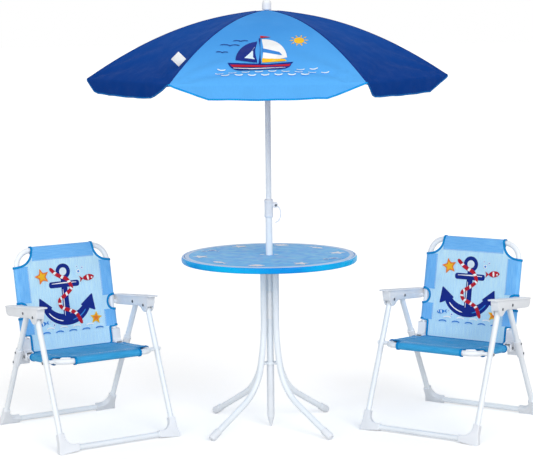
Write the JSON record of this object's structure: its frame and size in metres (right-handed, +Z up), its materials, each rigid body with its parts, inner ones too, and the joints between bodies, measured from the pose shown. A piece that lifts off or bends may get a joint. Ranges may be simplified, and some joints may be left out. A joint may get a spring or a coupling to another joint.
{
  "type": "children's table with umbrella and folding chairs",
  "caption": "Round garden table for children with a pole umbrella through its middle and folding sling armchairs on steel tube frames.",
  "frame": {"origin": "on the floor at the flat end of the umbrella pole's ground spike, on the pole axis", "axes": "+Z up along the pole; +X across the set, from the left chair to the right chair; +Y from the front of the set to its back"},
  "size_m": [1.5975, 0.8816, 1.22],
  "materials": {
    "white_steel": "white powder coat, semi-gloss",
    "white_plastic": "white injection moulding, fine grain",
    "rim_plastic": "bright azure moulding, satin",
    "table_panel": "printed light blue panel",
    "canopy_cloth": "smooth polyester, light and dark blue panels",
    "seat_cloth": "mid blue coated mesh weave",
    "back_cloth": "pale blue coated mesh weave with mid blue hems"
  },
  "bodies": {
    "table": {"table_rim": "rim_plastic", "table_top": "table_panel", "table_spider": "white_plastic", "pole_collar": "white_plastic", "table_leg_front_left": "white_steel", "table_leg_front_right": "white_steel", "table_leg_rear_left": "white_steel", "table_leg_rear_right": "white_steel"},
    "pole": {"ground_spike": "white_plastic", "lower_pole": "white_steel", "pole_clamp": "white_plastic"},
    "lever": {"clamp_lever": "white_plastic"},
    "head": {"upper_pole": "white_steel", "ferrule_crown": "white_plastic", "canopy": "canopy_cloth"},
    "runner": {"runner": "white_plastic"},
    "rib_1": {"rib_1": "white_steel"},
    "stretcher_1": {"stretcher_1": "white_steel"},
    "rib_2": {"rib_2": "white_steel"},
    "stretcher_2": {"stretcher_2": "white_steel"},
    "rib_3": {"rib_3": "white_steel"},
    "stretcher_3": {"stretcher_3": "white_steel"},
    "rib_4": {"rib_4": "white_steel"},
    "stretcher_4": {"stretcher_4": "white_steel"},
    "rib_5": {"rib_5": "white_steel"},
    "stretcher_5": {"stretcher_5": "white_steel"},
    "rib_6": {"rib_6": "white_steel"},
    "stretcher_6": {"stretcher_6": "white_steel"},
    "left_chair_base": {"left_chair_front_frame": "white_steel", "left_chair_front_shoe_left": "white_plastic", "left_chair_front_shoe_right": "white_plastic"},
    "left_chair_arms": {"left_chair_armrest_left": "white_plastic", "left_chair_armrest_right": "white_plastic"},
    "left_chair_back": {"left_chair_back_frame": "white_steel", "left_chair_back_sling": "back_cloth", "left_chair_knuckle_left": "white_plastic", "left_chair_knuckle_right": "white_plastic"},
    "left_chair_seat": {"left_chair_seat_frame": "white_steel", "left_chair_seat_sling": "seat_cloth"},
    "left_chair_rear_legs": {"left_chair_rear_frame": "white_steel", "left_chair_bracket_left": "white_plastic", "left_chair_bracket_right": "white_plastic", "left_chair_rear_shoe_left": "white_plastic", "left_chair_rear_shoe_right": "white_plastic"},
    "right_chair_base": {"right_chair_front_frame": "white_steel", "right_chair_front_shoe_left": "white_plastic", "right_chair_front_shoe_right": "white_plastic"},
    "right_chair_arms": {"right_chair_armrest_left": "white_plastic", "right_chair_armrest_right": "white_plastic"},
    "right_chair_back": {"right_chair_back_frame": "white_steel", "right_chair_back_sling": "back_cloth", "right_chair_knuckle_left": "white_plastic", "right_chair_knuckle_right": "white_plastic"},
    "right_chair_seat": {"right_chair_seat_frame": "white_steel", "right_chair_seat_sling": "seat_cloth"},
    "right_chair_rear_legs": {"right_chair_rear_frame": "white_steel", "right_chair_bracket_left": "white_plastic", "right_chair_bracket_right": "white_plastic", "right_chair_rear_shoe_left": "white_plastic", "right_chair_rear_shoe_right": "white_plastic"}
  },
  "joints": [
    {"name": "pole_lift_out", "type": "slide", "parent": "table", "child": "pole", "axis": [0, 0, 1], "range_m": [0, 0.52]},
    {"name": "umbrella_height", "type": "slide", "parent": "pole", "child": "head", "axis": [0, 0, 1], "range_m": [-0.1, 0.05]},
    {"name": "clamp_lever_open", "type": "hinge", "parent": "pole", "child": "lever", "pos_m": [0.02, 0, 0.6415], "axis": [0, -1, 0], "range_deg": [0, 110]},
    {"name": "umbrella_close", "type": "slide", "parent": "head", "child": "runner", "axis": [0, 0, -1], "range_m": [0, 0.2105], "deforming": ["canopy"]},
    {"name": "rib_1_fold", "type": "hinge", "parent": "head", "child": "rib_1", "pos_m": [0.0145, 0, 1.18279], "axis": [0, 1, 0], "range_deg": [0, 66.05]},
    {"name": "stretcher_1_fold", "type": "hinge", "parent": "rib_1", "child": "stretcher_1", "pos_m": [0.165, 0, 1.16127], "axis": [0, 1, 0], "range_deg": [-114.19, 0]},
    {"name": "rib_2_fold", "type": "hinge", "parent": "head", "child": "rib_2", "pos_m": [0.00725, 0.01256, 1.18279], "axis": [-0.866, 0.5, 0], "range_deg": [0, 66.05]},
    {"name": "stretcher_2_fold", "type": "hinge", "parent": "rib_2", "child": "stretcher_2", "pos_m": [0.0825, 0.14289, 1.16127], "axis": [-0.866, 0.5, 0], "range_deg": [-114.19, 0]},
    {"name": "rib_3_fold", "type": "hinge", "parent": "head", "child": "rib_3", "pos_m": [-0.00725, 0.01256, 1.18279], "axis": [-0.866, -0.5, 0], "range_deg": [0, 66.05]},
    {"name": "stretcher_3_fold", "type": "hinge", "parent": "rib_3", "child": "stretcher_3", "pos_m": [-0.0825, 0.14289, 1.16127], "axis": [-0.866, -0.5, 0], "range_deg": [-114.19, 0]},
    {"name": "rib_4_fold", "type": "hinge", "parent": "head", "child": "rib_4", "pos_m": [-0.0145, 0, 1.18279], "axis": [0, -1, 0], "range_deg": [0, 66.05]},
    {"name": "stretcher_4_fold", "type": "hinge", "parent": "rib_4", "child": "stretcher_4", "pos_m": [-0.165, 0, 1.16127], "axis": [0, -1, 0], "range_deg": [-114.19, 0]},
    {"name": "rib_5_fold", "type": "hinge", "parent": "head", "child": "rib_5", "pos_m": [-0.00725, -0.01256, 1.18279], "axis": [0.866, -0.5, 0], "range_deg": [0, 66.05]},
    {"name": "stretcher_5_fold", "type": "hinge", "parent": "rib_5", "child": "stretcher_5", "pos_m": [-0.0825, -0.14289, 1.16127], "axis": [0.866, -0.5, 0], "range_deg": [-114.19, 0]},
    {"name": "rib_6_fold", "type": "hinge", "parent": "head", "child": "rib_6", "pos_m": [0.00725, -0.01256, 1.18279], "axis": [0.866, 0.5, 0], "range_deg": [0, 66.05]},
    {"name": "stretcher_6_fold", "type": "hinge", "parent": "rib_6", "child": "stretcher_6", "pos_m": [0.0825, -0.14289, 1.16127], "axis": [0.866, 0.5, 0], "range_deg": [-114.19, 0]},
    {"name": "left_chair_pull_out", "type": "slide", "parent": "table", "child": "left_chair_base", "axis": [-0.5299, 0.848, 0], "range_m": [0, 0.25]},
    {"name": "left_chair_fold", "type": "hinge", "parent": "left_chair_base", "child": "left_chair_arms", "pos_m": [-0.49795, -0.06805, 0.355], "axis": [0.848, 0.5299, 0], "range_deg": [0, 47]},
    {"name": "left_chair_seat_fold", "type": "hinge", "parent": "left_chair_base", "child": "left_chair_seat", "pos_m": [-0.47093, -0.1113, 0.235], "axis": [0.848, 0.5299, 0], "range_deg": [0, 43.05]},
    {"name": "left_chair_back_fold", "type": "hinge", "parent": "left_chair_arms", "child": "left_chair_back", "pos_m": [-0.58923, 0.07803, 0.343], "axis": [0.848, 0.5299, 0], "range_deg": [-43.76, 0]},
    {"name": "left_chair_rear_leg_fold", "type": "hinge", "parent": "left_chair_arms", "child": "left_chair_rear_legs", "pos_m": [-0.53253, -0.01272, 0.357], "axis": [0.848, 0.5299, 0], "range_deg": [-96.4, 0]},
    {"name": "right_chair_pull_out", "type": "slide", "parent": "table", "child": "right_chair_base", "axis": [0.5446, 0.8387, 0], "range_m": [0, 0.25]},
    {"name": "right_chair_fold", "type": "hinge", "parent": "right_chair_base", "child": "right_chair_arms", "pos_m": [0.49417, -0.01547, 0.355], "axis": [0.8387, -0.5446, 0], "range_deg": [0, 47]},
    {"name": "right_chair_seat_fold", "type": "hinge", "parent": "right_chair_base", "child": "right_chair_seat", "pos_m": [0.4664, -0.05824, 0.235], "axis": [0.8387, -0.5446, 0], "range_deg": [0, 43.05]},
    {"name": "right_chair_back_fold", "type": "hinge", "parent": "right_chair_arms", "child": "right_chair_back", "pos_m": [0.58799, 0.12899, 0.343], "axis": [0.8387, -0.5446, 0], "range_deg": [-43.76, 0]},
    {"name": "right_chair_rear_leg_fold", "type": "hinge", "parent": "right_chair_arms", "child": "right_chair_rear_legs", "pos_m": [0.52971, 0.03926, 0.357], "axis": [0.8387, -0.5446, 0], "range_deg": [-96.4, 0]}
  ],
  "couplings": [
    {"joint": "rib_1_fold", "follows": "umbrella_close", "rad_per_m": 5.4723},
    {"joint": "stretcher_1_fold", "follows": "umbrella_close", "rad_per_m": -9.4635},
    {"joint": "rib_2_fold", "follows": "umbrella_close", "rad_per_m": 5.4723},
    {"joint": "stretcher_2_fold", "follows": "umbrella_close", "rad_per_m": -9.4635},
    {"joint": "rib_3_fold", "follows": "umbrella_close", "rad_per_m": 5.4723},
    {"joint": "stretcher_3_fold", "follows": "umbrella_close", "rad_per_m": -9.4635},
    {"joint": "rib_4_fold", "follows": "umbrella_close", "rad_per_m": 5.4723},
    {"joint": "stretcher_4_fold", "follows": "umbrella_close", "rad_per_m": -9.4635},
    {"joint": "rib_5_fold", "follows": "umbrella_close", "rad_per_m": 5.4723},
    {"joint": "stretcher_5_fold", "follows": "umbrella_close", "rad_per_m": -9.4635},
    {"joint": "rib_6_fold", "follows": "umbrella_close", "rad_per_m": 5.4723},
    {"joint": "stretcher_6_fold", "follows": "umbrella_close", "rad_per_m": -9.4635},
    {"joint": "left_chair_seat_fold", "follows": "left_chair_fold", "ratio": 0.915},
    {"joint": "left_chair_back_fold", "follows": "left_chair_fold", "ratio": -0.93},
    {"joint": "left_chair_rear_leg_fold", "follows": "left_chair_fold", "ratio": -2.05},
    {"joint": "right_chair_seat_fold", "follows": "right_chair_fold", "ratio": 0.915},
    {"joint": "right_chair_back_fold", "follows": "right_chair_fold", "ratio": -0.93},
    {"joint": "right_chair_rear_leg_fold", "follows": "right_chair_fold", "ratio": -2.05}
  ]
}
